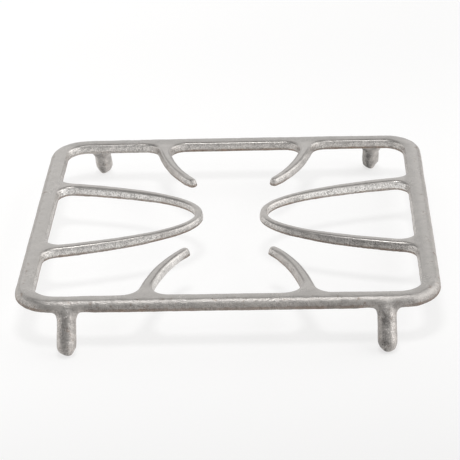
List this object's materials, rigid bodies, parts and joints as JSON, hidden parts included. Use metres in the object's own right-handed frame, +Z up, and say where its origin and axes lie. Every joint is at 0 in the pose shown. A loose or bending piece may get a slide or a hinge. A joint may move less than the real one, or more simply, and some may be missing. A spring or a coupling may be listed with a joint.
{
  "type": "hob pan support",
  "caption": "Cast pan support for a gas hob: a rounded ring on splayed legs, with inward loops and curved prongs whose level tops carry a pan over the burner.",
  "frame": {"origin": "on the surface that the feet stand on, under the middle of the support", "axes": "+Z up, +X to the right along the front rail, +Y from the front rail to the back rail"},
  "size_m": [0.22, 0.2308, 0.0254],
  "materials": {
    "bare_casting": "uncoated casting, fettled and tumbled to a light satin grey, with a fine sandy grain on the sides"
  },
  "bodies": {
    "root": {"pan_support": "bare_casting"}
  },
  "joints": []
}
